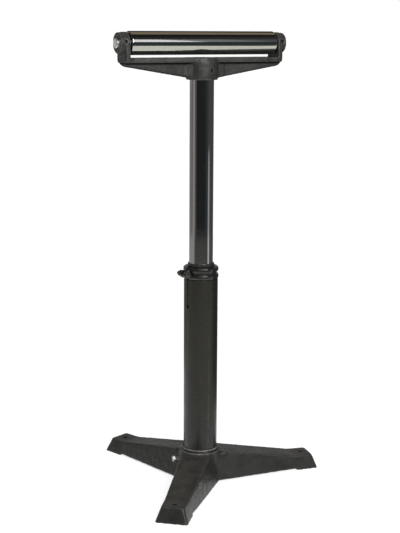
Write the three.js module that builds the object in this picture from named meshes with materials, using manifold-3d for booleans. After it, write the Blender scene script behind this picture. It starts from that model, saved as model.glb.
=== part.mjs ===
// Roller stand: a cast tripod base, a slotted outer tube with a split clamp collar, a chromed post that
// slides and turns in it, and a cast yoke that carries one roller on ball bearings.
// Millimetres and degrees, +Z up. The origin is on the post's axis at floor level, and +X runs along the
// roller.
import * as THREE from "three";
import { ConvexGeometry } from "three/addons/geometries/ConvexGeometry.js";
import { mergeVertices } from "three/addons/utils/BufferGeometryUtils.js";
import Module from "manifold-3d";

// Clearances
const seatGap = 0.3; // between pieces that rest on each other
const fitGap = 0.15; // radial, between pieces that are pressed or screwed together
const slideGap = 0.3; // radial, between pieces that slide or turn on each other
const cutMargin = 1; // how far a cutting shape runs past what it cuts

// Roller
const rollerDiameter = 50;
const rollerLength = 350;
const rollerSeatWall = 2.85; // left outside the bearing seats
const rollerSeatStep = 1.3; // from the bearing seat in to the middle bore
const rollerChamfer = 1.2;

// Bearings, clips, caps and spacers at the roller's ends
const axleDiameter = 22;
const bearingWidth = 12;
const bearingRingWall = 2.6;
const ballBite = 0.4; // how far a ball reaches into each ring
const ballCount = 7;
const cageShare = 0.42; // of the room between the rings
const cageHeight = 2.6;
const clipThickness = 1.6;
const clipWall = 2.4;
const clipGrooveDepth = 0.7;
const clipMouth = 8;
const capThickness = 2;
const capRecess = 0.4;
const spacerWall = 2.4;

// Yoke
const rollerGap = 5.5; // from the roller down to the flange
const rollerEndGap = 4; // from the roller's end to the upright
const uprightThickness = 11.5;
const yokeWidth = 48;
const uprightTopRadius = 23;
const edgeRadius = 5;
const bossRadius = 22;
const bossProud = 9;
const axleProud = 4.5;
const axleChamfer = 1.2;
const flangeThickness = 10;
const cornerRadius = 20;
const webInset = 5; // from the flange's edge in to the web at the corner
const webHubInset = 13; // the same at the hub's middle
const gussetRun = 24;
const webWall = 9;
const webRise = 4.5; // from the hub's lower end up to the web's lower edge
const padReach = 47; // from the hub's middle to the end of the pad over the web
const padThickness = 30;
const hubWall = 7.6;
const hubHeight = 47.5; // from the hub's lower end to the flange's top
const hubCap = 7.5;
const hubScrewAzimuth = -78;
const hubScrewHeight = 20; // above the hub's lower end
const axleScrewTilt = 8;
const setScrewDiameter = 8;
const setScrewLength = 6;
const setScrewSocket = 4;
const setScrewSocketDepth = 3;

// Post and its lower guide
const postDiameter = 53;
const postWall = 3.5;
const postLength = 600;
const postTravelLeft = 54.1; // upwards, before its upper clip meets the bush
const postGrooveDepth = 1;
const guideHeight = 24;
const guideInset = 4; // from the post's lower end to the first clip

// Outer tube and bush
const tubeLength = 484;
const tubeShoulder = 5.35; // step from the tube's outside in to its spigot
const spigotWall = 3.9;
const bushWall = 1.8;
const bushLength = 66;
const bushFlangeHeight = 5.8;
const bushFlangeProud = 0.9;
const bushSlit = 2;
const slotAzimuth = 192.4;
const slotWidth = 4;
const slotBelowCollar = 62;
const stopHoleDiameter = 8;

// Clamp
const collarHeight = 26.4;
const collarInset = 1; // from the tube's upper end down to the collar
const collarGrooveWall = 2.5;
const collarGrooveHeight = 4.6;
const collarRibProud = 3.9;
const collarRibRound = 3.4;
const earThickness = 5.6;
const earRadius = 8.5;
const clampBoltOffset = 7.6; // from the ribs out to the bolt's axis
const boltDiameter = 8;
const boltHeadAcross = 13;
const boltHeadHeight = 5.3;
const boltTail = 6;
const nutHeight = 6.5;
const washerDiameter = 16;
const washerThickness = 1.6;

// Base casting
const footHeight = 3;
const socketFloor = 9;
const baseHeight = 75;
const baseRimWall = 3.4;
const baseShoulderWidth = 4.6;
const baseShoulderDrop = 7.6;
const baseShoulderRise = 1.4; // from the shoulder's edge up to the rim
const baseHubDraft = 0.12; // sideways per height
const legCount = 3;
const legAzimuth = -10.3;
const legReach = 281;
const legTopWidth = 50; // at the pad's end
const legRootWidth = 66; // at the tube
const legSideDraft = 0.3; // sideways per height
const legRootDrop = 9.5; // from the rim down to the leg's top, at the tube
const legWall = 9;
const padHeight = 32;
const padLength = 41;
const tipDraft = 12;
const tipWidth = 72;
const tipCornerCut = 3.5;
const anchorHoleDiameter = 11;
const lockBoltHeight = 48;
const lockBoltExposed = 12;

// Facets around a full circle
const bigSides = 40;
const midSides = 36;
const smallSides = 24;
const bearingSides = 24;
const arcSteps = 3;

// Radii, from the axle and the post outwards
const axleRadius = axleDiameter / 2;
const innerRingBore = axleRadius + fitGap;
const innerRingRadius = innerRingBore + bearingRingWall;
const rollerRadius = rollerDiameter / 2;
const bearingSeat = rollerRadius - rollerSeatWall;
const outerRingRadius = bearingSeat - fitGap;
const outerRingBore = outerRingRadius - bearingRingWall;
const ballPitch = (innerRingRadius + outerRingBore) / 2;
const ballRadius = (outerRingBore - innerRingRadius) / 2 + ballBite;
const spacerRadius = innerRingBore + spacerWall;
const postRadius = postDiameter / 2;
const hubBore = postRadius + fitGap;
const hubRadius = hubBore + hubWall;
const bushBore = postRadius + slideGap;
const bushRadius = bushBore + bushWall;
const tubeBore = bushRadius + fitGap;
const guideRadius = tubeBore - slideGap;
const spigotRadius = tubeBore + spigotWall;
const tubeRadius = spigotRadius + tubeShoulder;
const collarBore = spigotRadius + fitGap;
const collarGroove = collarBore + collarGrooveWall;
const collarRadius = collarGroove + collarRibProud;
const clampBoltRadius = collarRadius + clampBoltOffset;
const socketRadius = tubeRadius + fitGap;
const baseRimRadius = socketRadius + baseRimWall;
const baseShoulderRadius = baseRimRadius + baseShoulderWidth;
const boltHole = boltDiameter / 2 + fitGap;
const setScrewHole = setScrewDiameter / 2 + fitGap;

// Heights, from the floor up
const tubeBottom = footHeight + socketFloor + seatGap;
const tubeTop = tubeBottom + tubeLength;
const collarTop = tubeTop - collarInset;
const collarMiddle = collarTop - collarHeight / 2;
const tubeShoulderHeight = collarTop - collarHeight - seatGap;
const bushFlangeBottom = tubeTop + seatGap;
const bushBottom = bushFlangeBottom - bushLength;
const upperClipTop = bushBottom - postTravelLeft;
const guideStack = guideInset + guideHeight + 2 * (clipThickness + seatGap);
const postBottom = upperClipTop - guideStack;
const flangeTop = postBottom + postLength + seatGap + hubCap;
const rollerAxis = flangeTop + rollerGap + rollerRadius;
const baseShoulder = baseHeight - baseShoulderDrop;

// Places along the roller, from its middle to the right
const capInner = rollerLength / 2 - capRecess - capThickness;
const clipOuter = capInner - seatGap;
const clipInner = clipOuter - clipThickness;
const bearingOuter = clipInner - seatGap;
const bearingMiddle = bearingOuter - bearingWidth / 2;
const seatStart = bearingOuter - bearingWidth - seatGap;
const uprightInner = rollerLength / 2 + rollerEndGap;
const uprightOuter = uprightInner + uprightThickness;
const bossEnd = uprightOuter + bossProud;
const bossMiddle = (uprightInner + bossEnd) / 2;
const axleEnd = bossEnd + axleProud;

const wasm = await Module();
wasm.setup();

// A closed geometry as a solid, whichever way its faces are wound.
function solidOf(geometry) {
  const bare = geometry.clone();
  bare.deleteAttribute("normal");
  bare.deleteAttribute("uv");
  const merged = mergeVertices(bare, 1e-3);
  const vertProperties = new Float32Array(merged.getAttribute("position").array);
  const triangles = [];
  for (let i = 0; i < merged.index.count; i += 3) {
    const [a, b, c] = merged.index.array.slice(i, i + 3);
    if (a !== b && b !== c && c !== a) triangles.push([a, b, c]);
  }
  const build = (faces) => {
    const triVerts = new Uint32Array(faces.flat());
    return new wasm.Manifold(new wasm.Mesh({ numProp: 3, vertProperties, triVerts }));
  };
  const solid = build(triangles);
  return solid.volume() > 0 ? solid : build(triangles.map(([a, b, c]) => [a, c, b]));
}

function geometryOf(solid) {
  const mesh = solid.getMesh();
  const geometry = new THREE.BufferGeometry();
  geometry.setAttribute("position", new THREE.BufferAttribute(new Float32Array(mesh.vertProperties), 3));
  geometry.setIndex(new THREE.BufferAttribute(new Uint32Array(mesh.triVerts), 1));
  geometry.computeVertexNormals();
  return geometry;
}

// A closed profile of [radius, height] points, turned about Z.
function turned(points, sides) {
  const closed = [...points, points[0]].map(([radius, height]) => new THREE.Vector2(radius, height));
  return solidOf(new THREE.LatheGeometry(closed, sides).rotateX(Math.PI / 2));
}

function ring(bore, radius, bottom, top, sides) {
  const points = [
    [bore, bottom],
    [radius, bottom],
    [radius, top],
    [bore, top],
  ];
  return turned(points, sides);
}

function rod(radius, bottom, top, sides) {
  const geometry = new THREE.CylinderGeometry(radius, radius, top - bottom, sides);
  return solidOf(geometry.rotateX(Math.PI / 2).translate(0, 0, (bottom + top) / 2));
}

function hexRod(acrossFlats, bottom, top) {
  return rod(acrossFlats / Math.sqrt(3), bottom, top, 6);
}

function box(low, high) {
  const size = high.map((value, i) => value - low[i]);
  const middle = high.map((value, i) => (value + low[i]) / 2);
  return solidOf(new THREE.BoxGeometry(...size).translate(...middle));
}

function hull(points) {
  return solidOf(new ConvexGeometry(points.map((point) => new THREE.Vector3(...point))));
}

// A shape drawn in X and Z, given a thickness centred on Y = 0.
function plateAcrossY(shape, thickness) {
  const options = { depth: thickness, bevelEnabled: false, curveSegments: 2 * arcSteps };
  const geometry = new THREE.ExtrudeGeometry(shape, options);
  return solidOf(geometry.rotateX(Math.PI / 2).translate(0, thickness / 2, 0));
}

// A shape drawn in Y and Z, given a thickness along X from a starting place.
function plateAcrossX(shape, start, thickness) {
  const options = { depth: thickness, bevelEnabled: false, curveSegments: 4 * arcSteps };
  const geometry = new THREE.ExtrudeGeometry(shape, options);
  return solidOf(geometry.rotateX(Math.PI / 2).rotateZ(Math.PI / 2).translate(start, 0, 0));
}

function polygon(points) {
  return new THREE.Shape(points.map(([x, y]) => new THREE.Vector2(x, y)));
}

function alongX(solid) {
  return solid.rotate([0, 90, 0]);
}

function alongY(solid) {
  return solid.rotate([-90, 0, 0]);
}

function joined(solids) {
  return solids.reduce((whole, solid) => whole.add(solid));
}

// Points on an arc of a turned profile, angles in degrees.
function arc(centreRadius, centreHeight, radius, startAngle, endAngle) {
  return Array.from({ length: arcSteps + 1 }, (_, i) => {
    const angle = THREE.MathUtils.degToRad(startAngle + ((endAngle - startAngle) * i) / arcSteps);
    return [centreRadius + radius * Math.cos(angle), centreHeight + radius * Math.sin(angle)];
  });
}

const materials = {
  casting: new THREE.MeshStandardMaterial({ color: 0x4a4a47, roughness: 0.5, metalness: 0.3 }),
  paintedTube: new THREE.MeshStandardMaterial({ color: 0x383735, roughness: 0.4, metalness: 0.3 }),
  chrome: new THREE.MeshStandardMaterial({ color: 0xd8dade, roughness: 0.08, metalness: 1 }),
  zinc: new THREE.MeshStandardMaterial({ color: 0xb9bcbf, roughness: 0.3, metalness: 1 }),
  blackSteel: new THREE.MeshStandardMaterial({ color: 0x1d1d1e, roughness: 0.4, metalness: 0.8 }),
  steel: new THREE.MeshStandardMaterial({ color: 0x9a9c9e, roughness: 0.3, metalness: 1 }),
  plastic: new THREE.MeshStandardMaterial({ color: 0x1b1b1c, roughness: 0.35, metalness: 0 }),
};

function piece(parent, name, solid, material) {
  const mesh = new THREE.Mesh(geometryOf(solid), material);
  mesh.name = name;
  parent.add(mesh);
}

function groupIn(parent, height, azimuth) {
  const group = new THREE.Group();
  group.position.z = height;
  group.rotation.z = THREE.MathUtils.degToRad(azimuth);
  parent.add(group);
  return group;
}

// Fasteners, standing on Z from the tip

function hexBolt(tip, headFace) {
  const shank = rod(boltDiameter / 2, tip, headFace + boltHeadHeight / 2, smallSides);
  return shank.add(hexRod(boltHeadAcross, headFace, headFace + boltHeadHeight));
}

function setScrew(tip) {
  const end = tip + setScrewLength;
  const socket = hexRod(setScrewSocket, end - setScrewSocketDepth, end + cutMargin);
  return rod(setScrewDiameter / 2, tip, end, smallSides).subtract(socket);
}

// An open spring clip lying on Z = 0, its mouth towards +X
function springClip(bore, radius) {
  const half = clipMouth / 2;
  const mouth = box([0, -half, -cutMargin], [radius + cutMargin, half, clipThickness + cutMargin]);
  return ring(bore, radius, 0, clipThickness, midSides).subtract(mouth);
}

// Base: the first leg lies along +X

const padEnd = legReach - tipDraft;
const padStart = padEnd - padLength;
const legSpread = (legRootWidth - legTopWidth) / 2 / (padEnd - tubeRadius);
const legSlope = (baseHeight - legRootDrop - padHeight) / (padStart - tubeRadius);

function legTop(distance) {
  return padHeight + legSlope * (padStart - distance);
}

function legTopHalf(distance) {
  return legTopWidth / 2 + legSpread * (padEnd - distance);
}

function legHalfWidth(distance, height) {
  return legTopHalf(distance) + legSideDraft * (legTop(distance) - height);
}

function baseHubRadius(height) {
  return baseShoulderRadius + baseHubDraft * (baseShoulder - height);
}

function hullBothSides(points) {
  const mirrored = points.map(([x, y, z]) => [x, -y, z]);
  return hull([...points, ...mirrored]);
}

function leg() {
  const start = tubeRadius / 2;
  const arm = [
    [start, legTopHalf(start), legTop(start)],
    [padStart, legTopHalf(padStart), padHeight],
    [start, legHalfWidth(start, footHeight), footHeight],
    [padStart, legHalfWidth(padStart, footHeight), footHeight],
  ];
  const foot = [
    [padStart, legTopHalf(padStart), padHeight],
    [padEnd - tipCornerCut, legTopHalf(padEnd), padHeight],
    [padEnd, legTopHalf(padEnd) - tipCornerCut, padHeight],
    [padStart, legHalfWidth(padStart, 0), 0],
    [legReach - tipCornerCut, tipWidth / 2, 0],
    [legReach, tipWidth / 2 - tipCornerCut, 0],
  ];
  return hullBothSides(arm).add(hullBothSides(foot));
}

// The space under a leg, between the hub and the solid foot
function legHollow() {
  const start = baseHubRadius(footHeight);
  const end = padStart - legWall;
  const bottom = footHeight - cutMargin;
  return hullBothSides([
    [start, legTopHalf(start) - legWall, legTop(start) - legWall],
    [end, legTopHalf(end) - legWall, legTop(end) - legWall],
    [start, legHalfWidth(start, bottom) - legWall, bottom],
    [end, legHalfWidth(end, bottom) - legWall, bottom],
  ]);
}

function anchorHole() {
  const hole = rod(anchorHoleDiameter / 2, -cutMargin, padHeight + cutMargin, smallSides);
  return hole.translate([padStart + padLength / 2, 0, 0]);
}

// The lock bolt sits half-way between the second leg and the third
const lockBoltAzimuth = (1.5 * 360) / legCount;

function baseCasting() {
  const hub = turned(
    [
      [0, footHeight],
      [baseHubRadius(footHeight), footHeight],
      [baseShoulderRadius, baseShoulder],
      [baseRimRadius, baseShoulder + baseShoulderRise],
      [baseRimRadius, baseHeight - baseRimWall / 2],
      [baseRimRadius - baseRimWall / 2, baseHeight],
      [0, baseHeight],
    ],
    bigSides,
  );
  const socket = rod(socketRadius, footHeight + socketFloor, baseHeight + cutMargin, bigSides);
  const lockHole = alongX(rod(boltHole, 0, baseHubRadius(footHeight), smallSides));
  const added = [hub];
  const removed = [socket, lockHole.translate([0, 0, lockBoltHeight]).rotate([0, 0, lockBoltAzimuth])];
  for (let i = 0; i < legCount; i++) {
    const turn = [0, 0, (360 / legCount) * i];
    added.push(leg().rotate(turn));
    removed.push(legHollow().rotate(turn), anchorHole().rotate(turn));
  }
  return joined(added).subtract(joined(removed));
}

function addBase(parent) {
  const base = groupIn(parent, 0, legAzimuth);
  piece(base, "base_casting", baseCasting(), materials.casting);
  const lock = groupIn(base, lockBoltHeight, lockBoltAzimuth);
  const bolt = hexBolt(tubeRadius + seatGap, baseHubRadius(lockBoltHeight) + lockBoltExposed);
  piece(lock, "base_lock_bolt", alongX(bolt), materials.zinc);
}

// Outer tube, bush and clamp: the saw cut and the ears face +X

function outerTube() {
  const body = turned(
    [
      [tubeBore, tubeBottom],
      [tubeRadius, tubeBottom],
      [tubeRadius, tubeShoulderHeight],
      [spigotRadius, tubeShoulderHeight],
      [spigotRadius, tubeTop],
      [tubeBore, tubeTop],
    ],
    bigSides,
  );
  const slotBottom = tubeShoulderHeight - slotBelowCollar;
  const reach = tubeRadius + cutMargin;
  const slot = box([0, -slotWidth / 2, slotBottom], [reach, slotWidth / 2, tubeTop + cutMargin]);
  const stopHole = alongX(rod(stopHoleDiameter / 2, 0, reach, smallSides)).translate([0, 0, slotBottom]);
  return body.subtract(slot).subtract(stopHole);
}

function guideBush() {
  const flangeRadius = bushRadius + bushFlangeProud;
  const top = bushFlangeBottom + bushFlangeHeight;
  const body = turned(
    [
      [bushBore, bushBottom],
      [bushRadius, bushBottom],
      [bushRadius, bushFlangeBottom],
      [flangeRadius, bushFlangeBottom],
      [flangeRadius, top - bushFlangeProud],
      [flangeRadius - bushFlangeProud, top],
      [bushBore, top],
    ],
    midSides,
  );
  const low = [0, -bushSlit / 2, bushBottom - cutMargin];
  return body.subtract(box(low, [flangeRadius + cutMargin, bushSlit / 2, top + cutMargin]));
}

// The collar lies about Z = 0
function clampCollar() {
  const upperHalf = [
    [collarGroove, collarGrooveHeight / 2],
    ...arc(collarRadius - collarRibRound, collarGrooveHeight / 2 + collarRibRound, collarRibRound, -90, 0),
    ...arc(collarRadius - collarRibRound, collarHeight / 2 - collarRibRound, collarRibRound, 0, 90),
    [collarBore, collarHeight / 2],
  ];
  const lowerHalf = upperHalf.map(([radius, height]) => [radius, -height]).reverse();
  const body = turned([...lowerHalf, ...upperHalf], bigSides);
  const earFace = slotWidth / 2 + earThickness;
  const earRoot = collarBore + collarGrooveWall / 2;
  const lobe = alongY(rod(earRadius, -earFace, earFace, midSides)).translate([clampBoltRadius, 0, 0]);
  const neck = box([earRoot, -earFace, -earRadius], [clampBoltRadius, earFace, earRadius]);
  const reach = clampBoltRadius + earRadius + cutMargin;
  const slotTop = collarHeight / 2 + cutMargin;
  const slot = box([0, -slotWidth / 2, -slotTop], [reach, slotWidth / 2, slotTop]);
  const holeEnd = earFace + cutMargin;
  const hole = alongY(rod(boltHole, -holeEnd, holeEnd, smallSides)).translate([clampBoltRadius, 0, 0]);
  return joined([body, lobe, neck]).subtract(slot).subtract(hole);
}

function addTubeAndClamp(parent) {
  const column = groupIn(parent, 0, slotAzimuth);
  piece(column, "outer_tube", outerTube(), materials.paintedTube);
  piece(column, "guide_bush", guideBush(), materials.plastic);
  const clamp = groupIn(parent, collarMiddle, slotAzimuth);
  piece(clamp, "clamp_collar", clampCollar(), materials.blackSteel);
  const washerStart = slotWidth / 2 + earThickness + seatGap;
  const washerEnd = washerStart + washerThickness;
  const nutStart = washerEnd + seatGap;
  const nutEnd = nutStart + nutHeight;
  const washer = ring(boltHole, washerDiameter / 2, washerStart, washerEnd, smallSides);
  const nut = hexRod(boltHeadAcross, -nutEnd, -nutStart);
  const nutHole = rod(boltHole, -nutEnd - cutMargin, cutMargin - nutStart, smallSides);
  const onBolt = new THREE.Group();
  onBolt.position.x = clampBoltRadius;
  clamp.add(onBolt);
  piece(onBolt, "clamp_bolt", alongY(hexBolt(-nutEnd - boltTail, nutStart)), materials.blackSteel);
  piece(onBolt, "clamp_nut", alongY(nut.subtract(nutHole)), materials.blackSteel);
  piece(onBolt, "clamp_washer_head", alongY(washer), materials.blackSteel);
  piece(onBolt, "clamp_washer_nut", alongY(washer.rotate([180, 0, 0])), materials.blackSteel);
}

// Post and lower guide, on the post's lower end at Z = 0

const guideBottom = guideInset + clipThickness + seatGap;
const guideTop = guideBottom + guideHeight;
const clipBottoms = { lower: guideInset, upper: guideTop + seatGap };

function postTube() {
  const grooveRadius = postRadius - postGrooveDepth;
  const outside = Object.values(clipBottoms).flatMap((clipBottom) => [
    [postRadius, clipBottom - fitGap],
    [grooveRadius, clipBottom - fitGap],
    [grooveRadius, clipBottom + clipThickness + fitGap],
    [postRadius, clipBottom + clipThickness + fitGap],
  ]);
  const points = [
    [postRadius - postWall, 0],
    [postRadius, 0],
    ...outside,
    [postRadius, postLength],
    [postRadius - postWall, postLength],
  ];
  return turned(points, midSides);
}

function addPost(parent) {
  const post = groupIn(parent, postBottom, 0);
  piece(post, "post_tube", postTube(), materials.chrome);
  const guide = ring(postRadius + fitGap, guideRadius, guideBottom, guideTop, midSides);
  piece(post, "lower_guide_ring", guide, materials.plastic);
  const clip = springClip(postRadius - postGrooveDepth + fitGap, guideRadius - fitGap);
  for (const [place, clipBottom] of Object.entries(clipBottoms)) {
    piece(post, "guide_clip_" + place, clip.translate([0, 0, clipBottom]), materials.blackSteel);
  }
}

// Head: the yoke, axle and roller lie about the roller's axis at Z = 0

const flangeUpper = -rollerRadius - rollerGap;
const flangeLower = flangeUpper - flangeThickness;
const hubLower = flangeUpper - hubHeight;
const cornerX = uprightOuter - cornerRadius;
const cornerLower = flangeUpper - cornerRadius;
const rootLower = hubLower + webRise;
const webThickness = yokeWidth - 2 * webInset;

// The flange with its lower corners cut round
function flange() {
  const end = Math.asin(flangeThickness / cornerRadius);
  const shape = new THREE.Shape();
  shape.moveTo(-uprightOuter, flangeUpper);
  shape.absarc(-cornerX, flangeUpper, cornerRadius, Math.PI, Math.PI + end, false);
  shape.absarc(cornerX, flangeUpper, cornerRadius, -end, 0, false);
  return plateAcrossY(shape, yokeWidth);
}

// The thicker corner under the flange, on the +X side
function cornerGusset() {
  const shape = new THREE.Shape();
  shape.moveTo(cornerX - gussetRun, flangeLower);
  shape.absarc(cornerX, flangeUpper, cornerRadius, -Math.PI / 2, 0, false);
  shape.lineTo(cornerX, flangeUpper);
  return plateAcrossY(shape, webThickness);
}

// Height of the straight lower edge that runs from the corner in to the hub
function webLower(x) {
  return cornerLower + ((rootLower - cornerLower) * (cornerX - x)) / (cornerX - hubRadius);
}

// The side view of the web from the hub's middle to an end on the +X side
function webProfile(end) {
  return polygon([
    [0, flangeUpper],
    [0, rootLower],
    [hubRadius, rootLower],
    [end, webLower(end)],
    [end, flangeUpper],
  ]);
}

// The web on the +X side, narrowed towards the hub and open underneath
function web() {
  const atHub = yokeWidth / 2 - webHubInset;
  const atCorner = webThickness / 2;
  const plan = polygon([
    [0, -atHub],
    [cornerX, -atCorner],
    [cornerX, atCorner],
    [0, atHub],
  ]);
  const options = { depth: hubHeight, bevelEnabled: false };
  const narrowed = solidOf(new THREE.ExtrudeGeometry(plan, options).translate(0, 0, hubLower));
  const start = padReach + webWall;
  const end = cornerX - gussetRun;
  const hollow = polygon([
    [start, flangeLower],
    [start, webLower(start) - cutMargin],
    [end, webLower(end) - cutMargin],
    [end, flangeLower],
  ]);
  return plateAcrossY(webProfile(cornerX), webThickness)
    .intersect(narrowed)
    .subtract(plateAcrossY(hollow, webThickness - 2 * webWall));
}

// The pad that thickens the web by the hub, on the +X side
function webPad() {
  return plateAcrossY(webProfile(padReach), padThickness);
}

function upright() {
  const shape = new THREE.Shape();
  shape.moveTo(-yokeWidth / 2, flangeUpper);
  shape.lineTo(yokeWidth / 2, flangeUpper);
  shape.absarc(0, 0, uprightTopRadius, 0, Math.PI, false);
  return plateAcrossX(shape, uprightInner, uprightThickness);
}

// The yoke's outline seen from above, as a prism that rounds its upright edges
function outlinePrism() {
  const x = uprightOuter - edgeRadius;
  const y = yokeWidth / 2 - edgeRadius;
  const shape = new THREE.Shape();
  shape.absarc(x, y, edgeRadius, 0, Math.PI / 2, false);
  shape.absarc(-x, y, edgeRadius, Math.PI / 2, Math.PI, false);
  shape.absarc(-x, -y, edgeRadius, Math.PI, 1.5 * Math.PI, false);
  shape.absarc(x, -y, edgeRadius, 1.5 * Math.PI, 2 * Math.PI, false);
  const bottom = flangeUpper - cornerRadius - cutMargin;
  const depth = uprightTopRadius + cutMargin - bottom;
  const options = { depth, bevelEnabled: false, curveSegments: arcSteps };
  return solidOf(new THREE.ExtrudeGeometry(shape, options).translate(0, 0, bottom));
}

// Turns a solid that stands on Z to point forwards, its tip on the axis and tilted up
function forwardAndUp(solid) {
  return solid.rotate([90 - axleScrewTilt, 0, 0]);
}

function yokeCasting() {
  const boss = alongX(rod(bossRadius, uprightInner, bossEnd, midSides));
  const bothSides = (solid) => [solid, solid.rotate([0, 0, 180])];
  const cradle = joined([flange(), ...bothSides(cornerGusset()), ...bothSides(upright())]);
  const hub = rod(hubRadius, hubLower, flangeUpper, midSides);
  const hubHole = rod(hubBore, hubLower - cutMargin, flangeUpper - hubCap, midSides);
  const axleHole = alongX(rod(innerRingBore, -bossEnd - cutMargin, bossEnd + cutMargin, midSides));
  const hubScrewHole = alongX(rod(setScrewHole, 0, hubRadius + cutMargin, smallSides))
    .rotate([0, 0, hubScrewAzimuth])
    .translate([0, 0, hubLower + hubScrewHeight]);
  const axleScrewHole = forwardAndUp(rod(setScrewHole, 0, uprightTopRadius + cutMargin, smallSides));
  const axleScrewHoles = [-bossMiddle, bossMiddle].map((x) => axleScrewHole.translate([x, 0, 0]));
  const arms = [...bothSides(web()), ...bothSides(webPad())];
  const whole = joined([cradle.intersect(outlinePrism()), ...arms, hub, ...bothSides(boss)]);
  return whole.subtract(joined([hubHole, axleHole, hubScrewHole, ...axleScrewHoles]));
}

function axle() {
  const points = [
    [0, -axleEnd],
    [axleRadius - axleChamfer, -axleEnd],
    [axleRadius, axleChamfer - axleEnd],
    [axleRadius, axleEnd - axleChamfer],
    [axleRadius - axleChamfer, axleEnd],
    [0, axleEnd],
  ];
  return alongX(turned(points, midSides));
}

function rollerTube() {
  const end = rollerLength / 2;
  const grooveRadius = bearingSeat + clipGrooveDepth;
  const rightHalf = [
    [bearingSeat - rollerSeatStep, seatStart],
    [bearingSeat, seatStart],
    [bearingSeat, clipInner - fitGap],
    [grooveRadius, clipInner - fitGap],
    [grooveRadius, clipOuter + fitGap],
    [bearingSeat, clipOuter + fitGap],
    [bearingSeat, end],
    [rollerRadius - rollerChamfer, end],
    [rollerRadius, end - rollerChamfer],
  ];
  const leftHalf = rightHalf.map(([radius, place]) => [radius, -place]).reverse();
  return alongX(turned([...rightHalf, ...leftHalf], midSides));
}

// Ball groove of a ring, as points from its lower edge to its upper edge
function raceArc(ringRadius, towardsAxis) {
  const grooveRadius = ballRadius + slideGap;
  const half = THREE.MathUtils.radToDeg(Math.acos(Math.abs(ballPitch - ringRadius) / grooveRadius));
  const middle = towardsAxis ? 180 : 0;
  const sign = towardsAxis ? -1 : 1;
  return arc(ballPitch, 0, grooveRadius, middle - sign * half, middle + sign * half);
}

// Bearing pieces stand on Z about their middle
function bearingInnerRing() {
  const half = bearingWidth / 2;
  const groove = raceArc(innerRingRadius, true);
  const face = [[innerRingRadius, -half], ...groove, [innerRingRadius, half]];
  return turned([[innerRingBore, -half], ...face, [innerRingBore, half]], bearingSides);
}

function bearingOuterRing() {
  const half = bearingWidth / 2;
  const groove = raceArc(outerRingBore, false);
  const face = [[outerRingBore, -half], ...groove, [outerRingBore, half]];
  return turned([[outerRingRadius, -half], ...face, [outerRingRadius, half]], bearingSides);
}

function ballCage() {
  const halfWall = (cageShare * (outerRingBore - innerRingRadius)) / 2;
  const top = cageHeight / 2;
  const cage = ring(ballPitch - halfWall, ballPitch + halfWall, -top, top, bearingSides);
  const ball = solidOf(new THREE.IcosahedronGeometry(ballRadius, 1)).translate([ballPitch, 0, 0]);
  const balls = Array.from({ length: ballCount }, (_, i) => ball.rotate([0, 0, (360 / ballCount) * i]));
  return joined([cage, ...balls]);
}

// What sits at one end of the roller, built on the +X side of its group
function addRollerEnd(head, side, azimuth) {
  const end = groupIn(head, 0, azimuth);
  const bearing = new THREE.Group();
  bearing.position.x = bearingMiddle;
  end.add(bearing);
  piece(bearing, "bearing_inner_ring_" + side, alongX(bearingInnerRing()), materials.steel);
  piece(bearing, "bearing_outer_ring_" + side, alongX(bearingOuterRing()), materials.steel);
  piece(bearing, "ball_cage_" + side, alongX(ballCage()), materials.steel);
  const clipRadius = bearingSeat + clipGrooveDepth - fitGap;
  const clip = springClip(clipRadius - clipWall, clipRadius).translate([0, 0, clipInner]);
  piece(end, "bearing_clip_" + side, alongX(clip), materials.blackSteel);
  const capBore = spacerRadius + 2 * slideGap;
  const cap = ring(capBore, bearingSeat - fitGap, capInner, capInner + capThickness, midSides);
  piece(end, "roller_end_cap_" + side, alongX(cap), materials.plastic);
  const spacerStart = bearingOuter + seatGap;
  const spacer = ring(innerRingBore, spacerRadius, spacerStart, uprightInner - seatGap, bearingSides);
  piece(end, "axle_spacer_" + side, alongX(spacer), materials.steel);
}

function addHead(parent) {
  const head = groupIn(parent, rollerAxis, 0);
  piece(head, "yoke_casting", yokeCasting(), materials.casting);
  const hubScrew = groupIn(head, hubLower + hubScrewHeight, hubScrewAzimuth);
  piece(hubScrew, "hub_set_screw", alongX(setScrew(postRadius + seatGap)), materials.blackSteel);
  piece(head, "axle", axle(), materials.steel);
  piece(head, "roller_tube", rollerTube(), materials.chrome);
  const sides = { left: -1, right: 1 };
  for (const [side, sign] of Object.entries(sides)) {
    const screw = forwardAndUp(setScrew(axleRadius + seatGap)).translate([sign * bossMiddle, 0, 0]);
    piece(head, "axle_set_screw_" + side, screw, materials.blackSteel);
    addRollerEnd(head, side, sign > 0 ? 0 : 180);
  }
}

const stand = new THREE.Group();
stand.name = "roller_stand";
addBase(stand);
addTubeAndClamp(stand);
addPost(stand);
addHead(stand);

export default stand;
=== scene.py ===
"""Roller stand: its finished pieces, surface finishes and studio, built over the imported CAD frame."""

import math
from contextlib import contextmanager

import bmesh
import bpy
from bpy.props import FloatProperty, FloatVectorProperty, IntProperty, PointerProperty
from bpy.types import NodeSocket, Operator, Panel, PropertyGroup, Scene
from mathutils import Matrix, Vector


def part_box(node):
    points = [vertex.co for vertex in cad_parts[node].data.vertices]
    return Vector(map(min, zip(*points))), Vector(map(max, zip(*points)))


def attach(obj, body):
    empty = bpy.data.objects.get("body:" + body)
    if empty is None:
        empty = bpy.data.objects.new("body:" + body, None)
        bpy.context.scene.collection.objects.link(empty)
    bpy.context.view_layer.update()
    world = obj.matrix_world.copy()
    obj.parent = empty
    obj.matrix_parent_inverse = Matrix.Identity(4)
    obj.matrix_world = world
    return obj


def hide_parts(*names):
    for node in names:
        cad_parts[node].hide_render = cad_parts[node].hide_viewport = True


bl_info = {
    "name": "Roller Stand",
    "version": (1, 0, 0),
    "blender": (4, 5, 0),
    "location": "3D View > Sidebar > Roller Stand",
    "description": "Builds the pieces, finishes and studio of a roller stand over its CAD frame",
    "category": "Object",
}

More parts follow.
